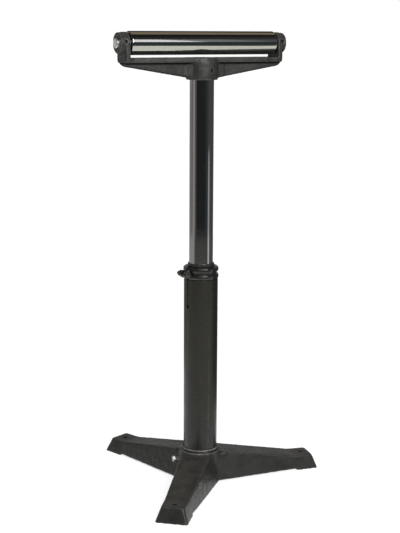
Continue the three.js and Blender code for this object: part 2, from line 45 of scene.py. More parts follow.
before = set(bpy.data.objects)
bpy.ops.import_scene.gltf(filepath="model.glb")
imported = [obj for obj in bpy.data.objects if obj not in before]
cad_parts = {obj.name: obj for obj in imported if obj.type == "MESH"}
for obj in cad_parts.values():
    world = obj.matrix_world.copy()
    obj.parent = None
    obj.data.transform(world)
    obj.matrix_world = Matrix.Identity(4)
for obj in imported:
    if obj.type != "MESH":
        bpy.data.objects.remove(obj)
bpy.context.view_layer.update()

X, Z = 0, 2
MM = 0.001
MERGE_DISTANCE = 1e-6
SHARP_EDGE = math.radians(30)
SHARP_SHADING = math.radians(35)
SMOOTH_SHADING = math.pi

# The saw cut, the collar's ears and the bush's slit face this way about the post's axis.
SLOT_AZIMUTH = math.radians(192.4)
LOCK_BOLT_AZIMUTH = math.radians(169.7)
HUB_SCREW_AZIMUTH = math.radians(-78)
AXLE_SCREW_TILT = math.radians(8)

CLAMP_BOLT_REACH = 46.8 * MM
BOLT_CLEARANCE = 0.15 * MM
CLIP_CLEARANCE = 0.15 * MM
SCREW_LENGTH = 6 * MM
SCREW_SOCKET = 4 * MM
HEAD_SIDES = 48
SMALL_SIDES = 40
AXLE_SIDES = 96

# The base's socket, and its turned rim as radius and drop from the top, both in millimetres
SOCKET_TOP = 75 * MM
SOCKET_FLOOR = 12 * MM
FOOT_LEVEL = 0.05 * MM
RIM = (
    (38.2, 20), (38.2, 0.4), (38.6, 0), (39.7, 0.1), (40.6, 0.5), (41.3, 1.2), (41.6, 2.2), (41.7, 5.4),
    (42.4, 6.3), (43.9, 6.6), (45.2, 7.1), (46.1, 8.0), (46.5, 9.2), (46.6, 11), (45.4, 20),
)

# The yoke's flange and web, as depths below the axle
FLANGE_TOP = 30.5 * MM
FLANGE_THICKNESS = 10 * MM
FLANGE_HALF_WIDTH = 24 * MM
FLANGE_LEAN = 1.3 * MM
WEB_TOP = 40.5 * MM
WEB_FOOT = 79.3 * MM
WEB_SLOPE = 0.1689

ALONG_X = Matrix.Rotation(math.radians(90), 4, "Y")
ALONG_Y = Matrix.Rotation(math.radians(-90), 4, "X")


# Places


def span(node, axis):
    """Lowest and highest place of a CAD node along one axis."""
    low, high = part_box(node)
    return low[axis], high[axis]


def radius_of(node, axis):
    """Outer radius of a turned CAD node, measured along one axis."""
    low, high = span(node, axis)
    return (high - low) / 2


def middle_of(node, axis):
    """Middle of a CAD node along one axis."""
    low, high = span(node, axis)
    return (low + high) / 2


def heading(azimuth):
    """Level direction at an azimuth about the post's axis."""
    return Vector((math.cos(azimuth), math.sin(azimuth), 0))


def facing(azimuth, height):
    """Place on the post's axis, turned to an azimuth."""
    return Matrix.Translation((0, 0, height)) @ Matrix.Rotation(azimuth, 4, "Z")


def off_axis(point):
    """Distance of a point from the Z axis."""
    return math.hypot(point.x, point.y)


AXLE_HEIGHT = middle_of("axle", Z)
ON_AXLE = Matrix.Translation((0, 0, AXLE_HEIGHT)) @ ALONG_X


# Shapes


def wire(points, closed=False):
    """A line of edges through (radius, height) points, and its parts, ready to be spun about Z."""
    bm = bmesh.new()
    verts = [bm.verts.new((radius, 0, height)) for radius, height in points]
    pairs = list(zip(verts, verts[1:]))
    if closed:
        pairs.append((verts[-1], verts[0]))
    return bm, verts + [bm.edges.new(pair) for pair in pairs]


def spun(bm, line, angle, steps, **settings):
    """Spins a line about Z."""
    bmesh.ops.spin(bm, geom=line, cent=(0, 0, 0), axis=(0, 0, 1), angle=angle, steps=steps, **settings)
    return bm


def turned(profile, sides):
    """A profile of (radius, height) points spun about Z, and left open where it starts on the axis."""
    bm = spun(*wire(profile, closed=profile[0][0] > 0), math.tau, sides, use_merge=True)
    bmesh.ops.remove_doubles(bm, verts=bm.verts, dist=MERGE_DISTANCE)
    bmesh.ops.recalc_face_normals(bm, faces=bm.faces)
    return bm


def ring(bore, radius, bottom, top):
    """Profile of a plain ring."""
    return [(bore, bottom), (radius, bottom), (radius, top), (bore, top)]


def mirrored(half, low, high):
    """A profile's one half and its mirror image between two ends."""
    return half + [(radius, low + high - place) for radius, place in reversed(half)]


def soften(bm, width, segments, outside=0.0):
    """Rounds the sharp edges of a shape that lie outside a radius about Z."""
    sharp = [edge for edge in bm.edges if edge.is_manifold and edge.calc_face_angle() > SHARP_EDGE]
    if outside:
        sharp = [edge for edge in sharp if all(off_axis(vert.co) > outside for vert in edge.verts)]
    bmesh.ops.bevel(
        bm,
        geom=sharp,
        offset=width,
        offset_type="OFFSET",
        segments=segments,
        profile=0.5,
        affect="EDGES",
        clamp_overlap=True,
        material=-1,
    )
    return bm


def lathed(profile, sides, width, segments, place=None):
    """A turned object with rounded edges."""
    return as_object(soften(turned(profile, sides), width, segments), place)


def block(low, high):
    """A box between two corners."""
    bm = bmesh.new()
    bmesh.ops.create_cube(bm, size=1)
    low, high = Vector(low), Vector(high)
    bmesh.ops.scale(bm, vec=high - low, verts=bm.verts)
    bmesh.ops.translate(bm, vec=(low + high) / 2, verts=bm.verts)
    return bm


def rod(radius, bottom, top, sides):
    """A round or six-sided rod standing on Z."""
    bm = bmesh.new()
    bmesh.ops.create_cone(
        bm, cap_ends=True, segments=sides, radius1=radius, radius2=radius, depth=top - bottom
    )
    bmesh.ops.translate(bm, vec=(0, 0, (bottom + top) / 2), verts=bm.verts)
    return bm


def threaded(radius, pitch, bottom, top, sides=28):
    """A rod on Z with a helical thread, its ends cut square."""
    root = radius - 0.58 * pitch
    start = bottom - 1.5 * pitch
    ridge = [(root, 0), (root, 0.12), (radius, 0.5), (radius, 0.62), (root, 1)]
    turns = math.ceil((top - bottom) / pitch) + 3
    bm, line = wire([(reach, start + share * pitch) for reach, share in ridge])
    spun(bm, line, math.tau * turns, sides * turns, dvec=(0, 0, pitch / sides))
    bmesh.ops.remove_doubles(bm, verts=bm.verts, dist=MERGE_DISTANCE)
    for height, side in ((bottom, -1), (top, 1)):
        everything = bm.verts[:] + bm.edges[:] + bm.faces[:]
        bmesh.ops.bisect_plane(
            bm, geom=everything, plane_co=(0, 0, height), plane_no=(0, 0, side), clear_outer=True
        )
        rim = [e for e in bm.edges if e.is_boundary and abs(e.verts[0].co.z - height) < MERGE_DISTANCE]
        bmesh.ops.edgeloop_fill(bm, edges=rim)
    bmesh.ops.recalc_face_normals(bm, faces=bm.faces)
    return bm


def as_object(bm, place=None):
    """A shape as an object in the scene, with its place in its mesh."""
    if place is not None:
        bmesh.ops.transform(bm, matrix=place, verts=bm.verts)
    mesh = bpy.data.meshes.new("Shape")
    bm.to_mesh(mesh)
    bm.free()
    made = bpy.data.objects.new("Shape", mesh)
    bpy.context.scene.collection.objects.link(made)
    return made


def settle(made):
    """Applies the object's modifiers."""
    depsgraph = bpy.context.evaluated_depsgraph_get()
    shape = bpy.data.meshes.new_from_object(made.evaluated_get(depsgraph))
    made.modifiers.clear()
    before = made.data
    made.data = shape
    bpy.data.meshes.remove(before)
    return made


def combined(made, tool, operation):
    """Joins, cuts or trims an object with a second one, which is used up."""
    step = made.modifiers.new("Combine", "BOOLEAN")
    step.operation = operation
    step.solver = "EXACT"
    step.object = tool
    settle(made)
    used = tool.data
    bpy.data.objects.remove(tool)
    bpy.data.meshes.remove(used)
    return made


# Castings


def cast_copy(node, grid, rounds):
    """A copy of a CAD casting whose edges and corners are rounded as a mould leaves them."""
    bm = bmesh.new()
    bm.from_mesh(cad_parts[node].data)
    bmesh.ops.remove_doubles(bm, verts=bm.verts, dist=MERGE_DISTANCE)
    made = as_object(bm)
    cells = made.modifiers.new("Cells", "REMESH")
    cells.mode = "VOXEL"
    cells.voxel_size = grid
    rounding = made.modifiers.new("Rounding", "SMOOTH")
    rounding.factor = 0.5
    rounding.iterations = rounds
    return settle(made)


@contextmanager
def reshaping(made):
    """An object's mesh, opened for changes and written back."""
    bm = bmesh.new()
    bm.from_mesh(made.data)
    yield bm
    bm.to_mesh(made.data)
    bm.free()


def beside_hub(inner, outer, low, high, screw, azimuth, gap):
    """A test for points around a hub, clear of the screw in it."""
    start, direction = Vector((0, 0, middle_of(screw, Z))), heading(azimuth)

    def beside(point):
        around = inner < off_axis(point) < outer and low < point.z < high
        return around and (point - start).cross(direction).length > gap

    return beside


def fill_corners(made, chosen, reach, rounds):
    """Fills the inner corners of a casting with fillets, where the test allows it."""
    least_hollow = 0.05
    with reshaping(made) as bm:
        corner = set()
        for vert in bm.verts:
            edges = vert.link_edges
            size = sum(edge.calc_length() for edge in edges) / len(edges)
            pull = sum((edge.other_vert(vert).co for edge in edges), Vector()) / len(edges) - vert.co
            if pull.dot(vert.normal) > least_hollow * size and chosen(vert.co):
                corner.add(vert)
        for _ in range(reach):
            near = {edge.other_vert(vert) for vert in corner for edge in vert.link_edges}
            corner |= {vert for vert in near if chosen(vert.co)}
        verts = [vert for vert in bm.verts if vert in corner]
        for _ in range(rounds):
            bmesh.ops.smooth_vert(
                bm, verts=verts, factor=0.5, use_axis_x=True, use_axis_y=True, use_axis_z=True
            )


def lean_flange(made):
    """Leans the long faces of the yoke's flange inwards towards its top."""
    top, fade, over_top = AXLE_HEIGHT - FLANGE_TOP, 6 * MM, 1.2
    side = FLANGE_HALF_WIDTH - fade
    end = span("roller_tube", X)[1]
    with reshaping(made) as bm:
        for vert in bm.verts:
            place = vert.co
            height = (place.z - top) / FLANGE_THICKNESS + 1
            if abs(place.y) > side and abs(place.x) < end and 0 < height < over_top:
                share = min(1, (end - abs(place.x)) / fade) * (abs(place.y) - side) / fade
                place.y -= math.copysign(FLANGE_LEAN * height * share, place.y)


def levelled(made, chosen, level):
    """Brings the points that pass a test to one level."""
    with reshaping(made) as bm:
        for vert in bm.verts:
            if chosen(vert.co):
                vert.co.z = level


def lumpy(made, size, height):
    """Gives a casting the uneven surface that sand leaves."""
    clouds = bpy.data.textures.new("Sand", "CLOUDS")
    clouds.noise_scale = size
    clouds.noise_depth = 2
    sand = made.modifiers.new("Sand", "DISPLACE")
    sand.texture = clouds
    sand.strength = height
    return settle(made)


# Fasteners, standing on Z


def hexagon(across, bottom, top, both_ends=False):
    """A six-sided head or nut blank with turned corners."""
    corner = across / math.sqrt(3)
    face = 0.47 * across
    drop = (corner - face) * math.tan(math.radians(30))
    low_end = [(face, bottom), (corner, bottom + drop)] if both_ends else [(corner, bottom)]
    blank = turned([(0, bottom), *low_end, (corner, top - drop), (face, top), (0, top)], HEAD_SIDES)
    return combined(as_object(rod(corner, bottom, top, 6)), as_object(blank), "INTERSECT")


def hex_bolt(sizes, tip, head_face):
    """A bolt with a threaded shank and a washer face under its head."""
    head = hexagon(sizes.bolt_across, head_face + 0.4 * MM, head_face + sizes.bolt_head)
    seat = turned(ring(0, 0.46 * sizes.bolt_across, head_face, head_face + MM), HEAD_SIDES)
    shank = threaded(sizes.bolt_radius, sizes.bolt_pitch, tip, head_face + 0.6 * MM)
    combined(head, as_object(seat), "UNION")
    return combined(head, as_object(shank), "UNION")


def hex_nut(sizes, bottom, top):
    """A nut with a countersunk bore."""
    nut = hexagon(sizes.bolt_across, bottom, top, both_ends=True)
    bore, sink = sizes.bolt_radius + BOLT_CLEARANCE, 0.6 * MM
    wide = bore + sink + MM
    drill = [
        (0, bottom - MM), (wide, bottom - MM), (bore, bottom + sink),
        (bore, top - sink), (wide, top + MM), (0, top + MM),
    ]
    return combined(nut, as_object(turned(drill, 36)), "DIFFERENCE")


def washer(sizes, bottom, top):
    """A plain washer."""
    profile = ring(sizes.bolt_radius + BOLT_CLEARANCE, sizes.washer_radius, bottom, top)
    return lathed(profile, 64, 0.25 * MM, 2)


def set_screw(sizes, tip):
    """A headless screw with a hexagon socket."""
    end = tip + SCREW_LENGTH
    shank = as_object(threaded(sizes.bolt_radius, sizes.bolt_pitch, tip, end))
    socket = as_object(rod(SCREW_SOCKET / math.sqrt(3), end - SCREW_LENGTH / 2, end + MM, 6))
    return combined(shank, socket, "DIFFERENCE")


# Shader nodes


def set_inputs(node, inputs):
    """Sets or links a node's inputs."""
    for socket, value in inputs.items():
        if isinstance(value, NodeSocket):
            node.id_data.links.new(value, node.inputs[socket])
        else:
            node.inputs[socket].default_value = value


def add_node(tree, kind, inputs, **settings):
    """A node with its settings made and its inputs set or linked."""
    made = tree.nodes.new(kind)
    for name, value in settings.items():
        setattr(made, name, value)
    set_inputs(made, inputs)
    return made


def derived(kind, inputs, **settings):
    """A node in the tree that its linked inputs come from."""
    tree = next(value.id_data for value in inputs.values() if isinstance(value, NodeSocket))
    return add_node(tree, kind, inputs, **settings)


def geometry(beside, name):
    """One of the surface's own values, in the tree of another socket."""
    return beside.id_data.nodes.new("ShaderNodeNewGeometry").outputs[name]


def calc(operation, first, second=0.0):
    """The result of a sum on two values."""
    return derived("ShaderNodeMath", {0: first, 1: second}, operation=operation).outputs[0]


def times(first, *others):
    """The product of two or more values."""
    for other in others:
        first = calc("MULTIPLY", first, other)
    return first


def blended(share, first, second):
    """A colour between two, by a mask."""
    mix = derived("ShaderNodeMix", {0: share, 6: first, 7: second}, data_type="RGBA")
    return mix.outputs[2]


def layered(under, mask, share, over):
    """A colour with another laid over it, by a share of a mask."""
    return blended(times(mask, share), under, over)


def stretched(value, low, high, to_low=0.0, to_high=1.0):
    """A value's range from low to high, spread over another range."""
    inputs = {"Value": value, "From Min": low, "From Max": high, "To Min": to_low, "To Max": to_high}
    return derived("ShaderNodeMapRange", inputs).outputs[0]


def ranged(mask, low, high):
    """A value that goes from low to high as a mask goes from 0 to 1."""
    return stretched(mask, 0.0, 1.0, low, high)


def slope(length, start, full, most=1.0):
    """Mask of a length that goes from 0 at one place to its most at another, both in millimetres."""
    return stretched(length, start * MM, full * MM, 0.0, most)


def band(length, start, full, hold, end):
    """Mask of a length that rises and falls again between four places in millimetres."""
    return times(slope(length, start, full), slope(length, end, hold))


def noise(vector, scale, detail=3.0, roughness=0.55):
    """Soft noise over a surface."""
    inputs = {"Vector": vector, "Scale": scale, "Detail": detail, "Roughness": roughness}
    return derived("ShaderNodeTexNoise", inputs).outputs[0]


def dot(vector, direction):
    """A vector's part along a direction."""
    inputs = {0: vector, 1: direction}
    return derived("ShaderNodeVectorMath", inputs, operation="DOT_PRODUCT").outputs["Value"]


def parted(vector):
    """A vector's x, y and z, its level part, and its distance from the Z axis."""
    parts = derived("ShaderNodeSeparateXYZ", {0: vector}).outputs
    level = derived("ShaderNodeCombineXYZ", {0: parts[0], 1: parts[1]}).outputs[0]
    reach = derived("ShaderNodeVectorMath", {0: level}, operation="LENGTH").outputs["Value"]
    return parts, level, reach


def upright(coords, axis):
    """Coordinates turned and moved so that a piece's axis becomes Z."""
    rotation, shift = axis
    inputs = {"Vector": coords, "Rotation": rotation, "Location": shift}
    return derived("ShaderNodeMapping", inputs).outputs[0]


def bumped(height, strength, distance):
    """A normal raised by a height."""
    inputs = {"Height": height, "Strength": strength, "Distance": distance}
    return derived("ShaderNodeBump", inputs).outputs[0]


def rgba(colour, share=1.0):
    """A colour, or a darker or lighter share of it, as a socket takes it."""
    return (*(part * share for part in colour), 1.0)


# Shader node groups


def cast_skin(given):
    """Sand-cast skin: rounded lumps, a fine grain and scattered pits."""
    vector = given["Vector"]
    scale = calc("DIVIDE", 1.0, given["Grain Size"])
    lumps = noise(vector, times(scale, 0.28), 2.0)
    grain = noise(vector, scale, 4.0, 0.65)
    inputs = {"Vector": vector, "Scale": times(scale, 0.4)}
    cells = derived("ShaderNodeTexVoronoi", inputs).outputs["Distance"]
    rare = stretched(noise(vector, times(scale, 0.12)), 0.5, 0.62)
    pits = times(stretched(cells, 0.05, 0.22, 1.0, 0.0), rare)
    raised = calc("ADD", times(lumps, 0.9), times(grain, 0.5))
    return {"Height": calc("SUBTRACT", raised, times(pits, 0.6)), "Pits": pits}


def worn_edges_and_painted_light(given):
    """Masks of rubbed edges that also carry painted highlights, broken up along their length, and of painted
    shade in inner corners.
    """
    point = geometry(given["Vector"], "Pointiness")
    edge = stretched(point, given["Start"], given["Full"])
    patch = stretched(noise(given["Vector"], given["Patch Scale"], 4.0, 0.7), 0.36, 0.62)
    return {"Mask": times(edge, patch), "Creases": stretched(point, 0.44, 0.49, 1.0, 0.0)}


def dust_and_top_light(given):
    """Mask of thin dust and painted top light on faces that look up."""
    up = derived("ShaderNodeSeparateXYZ", {0: geometry(given["Vector"], "Normal")}).outputs[Z]
    patch = stretched(noise(given["Vector"], given["Patch Scale"], 5.0, 0.65), 0.3, 0.75)
    return {"Mask": times(stretched(up, 0.55, 0.98), patch)}


def turning_marks(given):
    """Fine rings left by a lathe or grinder, about the Z axis of the given vector."""
    parts, _, reach = parted(given["Vector"])
    place = calc("DIVIDE", calc("ADD", parts[Z], reach), given["Pitch"])

    def rings(scale, detail):
        inputs = {"W": place, "Scale": scale, "Detail": detail}
        return derived("ShaderNodeTexNoise", inputs, noise_dimensions="1D").outputs[0]

    return {"Height": rings(1.0, 2.0), "Mask": stretched(rings(0.06, 3.0), 0.4, 0.7)}


def handling_marks(given):
    """Masks of smears and spots from hands and oil."""
    smears = noise(given["Vector"], given["Scale"], 5.0, 0.6)
    specks = noise(given["Vector"], times(given["Scale"], 14.0), 2.0)
    return {"Smears": stretched(smears, 0.42, 0.72), "Spots": stretched(specks, 0.66, 0.74)}


# Each group: what draws it, and the values it takes beside a vector
GROUPS = {
    "Cast Skin": (cast_skin, {"Grain Size": 2 * MM}),
    "Worn Edges": (worn_edges_and_painted_light, {"Start": 0.53, "Full": 0.6, "Patch Scale": 90.0}),
    "Settled Dust": (dust_and_top_light, {"Patch Scale": 30.0}),
    "Turning Marks": (turning_marks, {"Pitch": 0.6 * MM}),
    "Handling Marks": (handling_marks, {"Scale": 20.0}),
}


def new_group(name):
    """Builds one of the shader node groups."""
    draw, values = GROUPS[name]
    tree = bpy.data.node_groups.new(name, "ShaderNodeTree")
    tree.interface.new_socket("Vector", in_out="INPUT", socket_type="NodeSocketVector")
    for label, default in values.items():
        socket = tree.interface.new_socket(label, in_out="INPUT", socket_type="NodeSocketFloat")
        socket.default_value = default
    results = draw(tree.nodes.new("NodeGroupInput").outputs)
    for label in results:
        tree.interface.new_socket(label, in_out="OUTPUT", socket_type="NodeSocketFloat")
    add_node(tree, "NodeGroupOutput", results)
    return tree


def use_group(name, vector, values):
    """Outputs of a shared node group, which is built when it is first used."""
    group = bpy.data.node_groups.get(name) or new_group(name)
    return derived("ShaderNodeGroup", {"Vector": vector, **values}, node_tree=group).outputs


# Finishes: each gives the values for its shader's inputs


def rim_painted_highlight(coords, colour, paint, rough):
    """The socket's rim: painted highlights along its top edge and shoulder on the side the camera looks from,
    and painted shade on the upright face between them.
    """
    # The pale colour is a painted highlight, and the side is the one the camera looks from.
    bare, highlight_side = (0.38, 0.37, 0.35), (-0.47, -0.88, 0.0)
    place, level, reach = parted(coords)
    drop = calc("SUBTRACT", SOCKET_TOP, place[Z])
    patch = stretched(noise(coords, 110.0, 3.0, 0.6), 0.38, 0.6, 0.25, 1.0)
    rubbed = times(patch, slope(dot(level, highlight_side), 6, 36))
    # Painted shade: the rim's upright face between its top edge and shoulder, darkened to a fifth of the
    # paint's colour.
    groove = times(band(drop, 1.8, 2.6, 5.8, 6.6), slope(reach, 42.4, 41.9))
    paint = layered(paint, groove, 0.8, rgba(colour, 0.2))
    # Painted highlights on the rim's top edge and on its shoulder.
    edge = times(slope(drop, 2.0, 1.2), band(reach, 39.4, 40.2, 41.9, 42.4))
    shoulder = times(band(drop, 6.4, 6.7, 7.8, 8.6), slope(reach, 47.2, 46.7, 0.4))
    rim_highlight = calc("MAXIMUM", edge, shoulder)
    return layered(paint, rim_highlight, rubbed, rgba(bare)), rough


def web_painted_shade(coords, colour, paint, rough):
    """The yoke's web: painted shadow in the corner under the flange and painted shade along the lower edge.
    """
    place, _, reach = parted(coords)
    drop = calc("SUBTRACT", AXLE_HEIGHT - WEB_TOP, place[Z])
    # Painted shadow just under the flange's overhang.
    corner = band(drop, -0.8, 0.4, 3.4, 6.0)
    lower = times(calc("ABSOLUTE", place[X]), WEB_SLOPE)
    lower = calc("ADD", lower, AXLE_HEIGHT - WEB_FOOT)
    # Painted shade along the web's lower edge.
    edge = slope(calc("SUBTRACT", place[Z], lower), 4.2, 1.6, 0.75)
    painted_shade = times(calc("MAXIMUM", corner, edge), slope(reach, 34, 40))
    return blended(painted_shade, paint, rgba(colour, 0.08)), calc("MAXIMUM", rough, painted_shade)


def casting_paint(coords, colour, finishes, own_painted_light):
    """Dark grey paint over sand-cast iron, with one casting's own painted light and shade."""
    skin = use_group("Cast Skin", coords, {"Grain Size": 2.6 * MM})
    edges = use_group("Worn Edges", coords, {"Start": 0.513, "Full": 0.56})
    dust = use_group("Settled Dust", coords, {})["Mask"]
    drift = stretched(noise(coords, 26.0, 4.0, 0.6), 0.32, 0.68)
    paint = blended(drift, rgba(colour, 0.78), rgba(colour, 1.22))
    paint = layered(paint, skin["Pits"], 0.55, rgba(colour, 0.45))
    # Dust and painted top light: faces that look up lightened towards the dust colour.
    paint = layered(paint, dust, 0.22, rgba(finishes.dust_and_top_light_colour))
    # Painted shade: inner corners darkened to a quarter of the paint's colour.
    paint = layered(paint, edges["Creases"], 0.7, rgba(colour, 0.25))
    # Rubbed edges, also painted edge highlights, lightened towards the worn colour.
    paint = layered(paint, edges["Mask"], 0.7, rgba(finishes.worn_and_highlight_colour))
    paint, rough = own_painted_light(coords, colour, paint, ranged(drift, 0.3, 0.44))
    return {
        "Base Color": paint,
        "Roughness": calc("ADD", rough, times(dust, 0.12)),
        "Specular IOR Level": 0.38,
        "Normal": bumped(skin["Height"], 0.8, 0.9 * MM),
    }


def slot_painted_shade(coords):
    """Mask of the walls of the tube's saw cut and stop hole, where shade is painted dark."""
    ahead = heading(SLOT_AZIMUTH)
    aside = Vector((-ahead.y, ahead.x, 0))
    near = slope(calc("ABSOLUTE", dot(coords, aside)), 4.6, 4.2)
    return times(near, band(dot(coords, ahead), 0, 1, 37.3, 37.6))


def tube_paint(coords, colour, finishes):
    """Semi-gloss paint on a drawn tube, slightly wavy."""
    marks = use_group("Handling Marks", coords, {"Scale": 24.0})
    edges = use_group("Worn Edges", coords, {"Start": 0.54, "Full": 0.62})
    drift = stretched(noise(coords, 14.0, 4.0, 0.6), 0.3, 0.7)
    cut = slot_painted_shade(coords)
    paint = blended(drift, rgba(colour, 0.86), rgba(colour, 1.14))
    paint = layered(paint, marks["Spots"], 0.35, rgba(finishes.dust_and_top_light_colour))
    paint = layered(paint, edges["Mask"], 0.6, rgba(finishes.worn_and_highlight_colour))
    return {
        # Painted shade: the saw cut's and stop hole's walls darkened to near black.
        "Base Color": blended(cut, paint, rgba(colour, 0.08)),
        "Roughness": calc("MAXIMUM", ranged(marks["Smears"], 0.32, 0.42), cut),
        "Specular IOR Level": 0.46,
        "Normal": bumped(noise(coords, 420.0, 2.0, 0.5), 0.12, 0.4 * MM),
    }


def chrome_plate(coords, colour, finishes, axis):
    """Hard chrome over ground steel."""
    lines = use_group("Turning Marks", upright(coords, axis), {"Pitch": 0.5 * MM})
    marks = use_group("Handling Marks", coords, {"Scale": 17.0})
    plate = blended(marks["Smears"], rgba(colour), rgba(colour, 0.93))
    plate = layered(plate, lines["Mask"], 0.25, rgba(colour, 0.86))
    plate = layered(plate, marks["Spots"], 0.3, rgba(colour, 0.6))
    rough = ranged(marks["Smears"], 0.05, 0.1)
    return {
        "Base Color": plate,
        "Metallic": 1.0,
        "Roughness": calc("ADD", rough, times(lines["Mask"], 0.03)),
        "Normal": bumped(lines["Height"], 0.04, 0.1 * MM),
    }


def plated_metal(coords, colour, finishes, axis, pale, rough, pitch):
    """Plated or bare metal with tool marks about the piece's own axis."""
    lines = use_group("Turning Marks", upright(coords, axis), {"Pitch": pitch})
    marks = use_group("Handling Marks", coords, {"Scale": 130.0})
    edges = use_group("Worn Edges", coords, {"Start": 0.54, "Full": 0.66, "Patch Scale": 300.0})
    metal = blended(marks["Smears"], rgba(colour), rgba(colour, 0.72))
    metal = layered(metal, lines["Mask"], 0.3, rgba(colour, 0.8))
    metal = layered(metal, edges["Mask"], 0.6, rgba(pale))
    return {
        "Base Color": metal,
        "Metallic": 1.0,
        "Roughness": ranged(marks["Smears"], *rough),
        "Normal": bumped(lines["Height"], 0.12, 0.1 * MM),
    }


def black_gloss(coords, colour, finishes):
    """Glossy black finish on the machined collar and its fasteners."""
    marks = use_group("Handling Marks", coords, {"Scale": 60.0})
    edges = use_group("Worn Edges", coords, {"Start": 0.55, "Full": 0.66, "Patch Scale": 240.0})
    drift = stretched(noise(coords, 90.0, 4.0), 0.3, 0.7)
    paint = blended(drift, rgba(colour, 0.75), rgba(colour, 1.3))
    paint = layered(paint, marks["Spots"], 0.3, rgba(finishes.dust_and_top_light_colour))
    paint = layered(paint, edges["Mask"], 0.7, rgba(finishes.worn_and_highlight_colour))
    return {
        "Base Color": paint,
        "Roughness": ranged(marks["Smears"], 0.1, 0.2),
        "Specular IOR Level": 0.7,
        "Normal": bumped(noise(coords, 700.0, 2.0), 0.08, 0.3 * MM),
    }


def moulded_nylon(coords, colour, finishes):
    """Black moulded plastic with a faint grain."""
    smears = use_group("Handling Marks", coords, {"Scale": 80.0})["Smears"]
    drift = stretched(noise(coords, 110.0, 3.0), 0.3, 0.7)
    body = blended(drift, rgba(colour, 0.8), rgba(colour, 1.25))
    return {
        "Base Color": layered(body, smears, 0.12, rgba(finishes.dust_and_top_light_colour)),
        "Roughness": ranged(smears, 0.24, 0.4),
        "Normal": bumped(noise(coords, 1500.0, 3.0), 0.1, 0.2 * MM),
    }


# A Mapping node's rotation and shift that bring a piece's axis to Z
POST_AXIS = ((0, 0, 0), (0, 0, 0))
ROLLER_AXIS = ((0, math.radians(-90), 0), (AXLE_HEIGHT, 0, 0))

# Each finish: the record's slot, what draws it, its colour setting, and what else it is drawn with
FINISHES = {
    "Base Paint": ("casting", casting_paint, "base_colour", rim_painted_highlight),
    # The yoke's paint is a lighter copy of the base's, as painted light for the stronger light on the head.
    "Yoke Paint": ("casting", casting_paint, "yoke_colour", web_painted_shade),
    "Tube Paint": ("tube_paint", tube_paint, "tube_colour"),
    "Post Chrome": ("chrome", chrome_plate, "chrome_colour", POST_AXIS),
    "Roller Chrome": ("chrome", chrome_plate, "chrome_colour", ROLLER_AXIS),
    "Zinc Plate": (
        "zinc", plated_metal, "zinc_colour", POST_AXIS, (0.7, 0.7, 0.68), (0.52, 0.64), 0.4 * MM
    ),
    "Ground Steel": (
        "steel", plated_metal, "steel_colour", ROLLER_AXIS, (0.72, 0.72, 0.7), (0.34, 0.46), 0.5 * MM
    ),
    "Black Gloss": ("black_steel", black_gloss, "black_colour"),
    "Moulded Nylon": ("plastic", moulded_nylon, "nylon_colour"),
}


def finish_named(name):
    """One of the stand's finishes, made when it is first used."""
    kept = bpy.data.materials.get(name)
    if kept:
        return kept
    _, draw, colour, *details = FINISHES[name]
    finishes = bpy.context.scene.roller_stand_finishes
    made = bpy.data.materials.new(name)
    made.use_nodes = True
    tree = made.node_tree
    coords = tree.nodes.new("ShaderNodeTexCoord").outputs["Object"]
    surface = draw(coords, getattr(finishes, colour), finishes, *details)
    set_inputs(tree.nodes["Principled BSDF"], surface)
    return made


def finished(made, name, finish, body, node, sharp_angle=SHARP_SHADING):
    """Names a piece, gives it its finish, ties it to its body and hides the CAD node it stands for."""
    made.name = name
    made.data.name = name
    made.data.shade_smooth()
    made.data.set_sharp_from_angle(angle=sharp_angle)
    made.data.materials.clear()
    made.data.materials.append(finish_named(finish))
    shading = made.modifiers.new("Even Shading", "WEIGHTED_NORMAL")
    shading.keep_sharp = True
    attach(made, body)
    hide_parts(node)


# Settings


def length_property(name, description, default, precision=4):
    """A setting in metres."""
    return FloatProperty(
        name=name, description=description, unit="LENGTH", precision=precision, default=default
    )


def power_property(name, description, default):
    """A lamp's power in watts."""
    return FloatProperty(name=name, description=description, unit="POWER", min=0.0, default=default)


def colour_property(name, description, default):
    """A setting that is a colour."""
    return FloatVectorProperty(
        name=name, description=description, subtype="COLOR", size=3, min=0.0, max=1.0, default=default
    )


class RollerStandSizes(PropertyGroup):
    """Sizes of the stand's finished pieces"""

    post_radius: length_property("Post Radius", "Outer radius of the chromed post", radius_of("post_tube", X))
    tube_radius: length_property("Tube Radius", "Outer radius of the outer tube", radius_of("outer_tube", X))
    roller_radius: length_property("Roller Radius", "Outer radius of the roller", radius_of("roller_tube", Z))
    edge_round: length_property("Edge Round", "Rounding of turned edges", 0.6 * MM)
    rib_round: length_property("Rib Round", "Rounding of the collar's two ribs", 3.4 * MM)
    slot_width: length_property("Slot Width", "Width of the saw cut in tube and collar", 4 * MM)
    bolt_radius: length_property("Bolt Radius", "Radius of bolts and set screws", 4 * MM)
    bolt_pitch: length_property("Thread Pitch", "Pitch of the threads", 1.25 * MM, 5)
    bolt_across: length_property("Across Flats", "Width of bolt heads and nut", 13 * MM)
    bolt_head: length_property("Head Height", "Height of bolt heads", 5.3 * MM)
    washer_radius: length_property("Washer Radius", "Outer radius of the clamp's washers", 8 * MM)
    base_grid: length_property("Base Grid", "Cell size of the base casting's mesh", 2.1 * MM, 5)
    yoke_grid: length_property("Yoke Grid", "Cell size of the yoke casting's mesh", 1.3 * MM, 5)
    round_sides: IntProperty(
        name="Round Sides", description="Sides around a large round piece", default=144, min=24, max=256
    )


